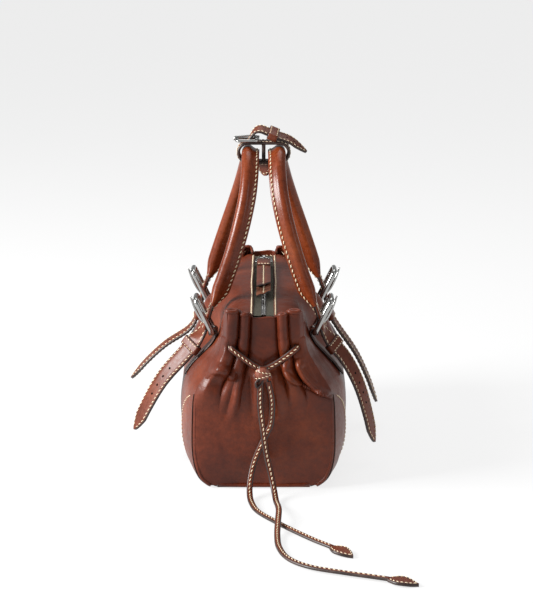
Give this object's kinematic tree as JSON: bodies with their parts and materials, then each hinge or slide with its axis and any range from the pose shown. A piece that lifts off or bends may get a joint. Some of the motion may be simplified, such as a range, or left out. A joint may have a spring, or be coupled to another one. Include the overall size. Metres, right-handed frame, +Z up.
{
  "type": "handbag",
  "caption": "Soft leather handbag with pleated drawstring ends, a top zip with a long pull, and rolled handles on buckled straps joined by a small belt.",
  "frame": {"origin": "centre of the flat base's underside, on the surface that the bag stands on", "axes": "+Z up; Y along the bag's length, with the near drawstring end at -Y; X across it, from the left panel (-X) to the right panel (+X)"},
  "size_m": [0.2901, 0.5939, 0.3514],
  "materials": {
    "leather": "satin",
    "lining": "matte",
    "board": "matte",
    "tape": "matte",
    "silver": "polished"
  },
  "bodies": {
    "bag": {"left_panel": "leather", "right_panel": "leather", "base_panel": "leather", "base_board": "board", "lining": "lining", "near_gusset": "leather", "far_gusset": "leather", "near_left_corner_patch": "leather", "near_right_corner_patch": "leather", "far_left_corner_patch": "leather", "far_right_corner_patch": "leather", "zip_tape_left": "tape", "zip_tape_right": "tape", "zip_teeth_left": "silver", "zip_teeth_right": "silver", "zip_stop_near": "silver", "zip_stop_far": "silver", "near_left_tab": "leather", "near_left_strap_tail": "leather", "near_left_keeper": "leather", "near_right_tab": "leather", "near_right_strap_tail": "leather", "near_right_keeper": "leather", "far_left_tab": "leather", "far_left_strap_tail": "leather", "far_left_keeper": "leather", "far_right_tab": "leather", "far_right_strap_tail": "leather", "far_right_keeper": "leather", "near_drawstring": "leather", "near_knot": "leather", "far_drawstring": "leather", "far_knot": "leather", "drawstring_tail_a": "leather", "drawstring_tail_b": "leather", "drawstring_tip_a": "leather", "drawstring_tip_b": "leather"},
    "left_handle": {"left_handle": "leather", "near_left_buckle": "silver", "near_left_prong": "silver", "far_left_buckle": "silver", "far_left_prong": "silver"},
    "right_handle": {"right_handle": "leather", "near_right_buckle": "silver", "near_right_prong": "silver", "far_right_buckle": "silver", "far_right_prong": "silver"},
    "handle_belt": {"belt_band": "leather", "belt_divider": "leather", "belt_tab": "leather", "belt_buckle": "silver", "belt_prong": "silver", "belt_strap": "leather", "belt_keeper": "leather"},
    "zip_slider": {"zip_slider": "silver"},
    "zip_pull": {"pull_ring": "silver", "pull_cap": "leather", "pull_leaf_upper": "leather", "pull_leaf_lower": "leather"}
  },
  "joints": [
    {"name": "left_handle_swing", "type": "hinge", "parent": "bag", "child": "left_handle", "pos_m": [-0.05699, 0, 0.144], "axis": [-0.0579, 0.9983, 0], "range_deg": [-5, 5]},
    {"name": "right_handle_swing", "type": "hinge", "parent": "bag", "child": "right_handle", "pos_m": [0.05699, 0, 0.144], "axis": [0.0579, 0.9983, 0], "range_deg": [-5, 5]},
    {"name": "handle_belt_tilt", "type": "hinge", "parent": "left_handle", "child": "handle_belt", "pos_m": [-0.0165, 0, 0.3235], "axis": [0, 1, 0], "range_deg": [-17.2, 17.2]},
    {"name": "zip_slide", "type": "slide", "parent": "bag", "child": "zip_slider", "axis": [0, -1, 0], "range_m": [0, 0.19]},
    {"name": "zip_pull_flip", "type": "hinge", "parent": "zip_slider", "child": "zip_pull", "pos_m": [0, 0.1, 0.186], "axis": [-1, 0, 0], "range_deg": [0, 16]}
  ],
  "couplings": [
    {"joint": "right_handle_swing", "follows": "left_handle_swing", "ratio": 1},
    {"joint": "handle_belt_tilt", "follows": "left_handle_swing", "ratio": -3.41}
  ]
}
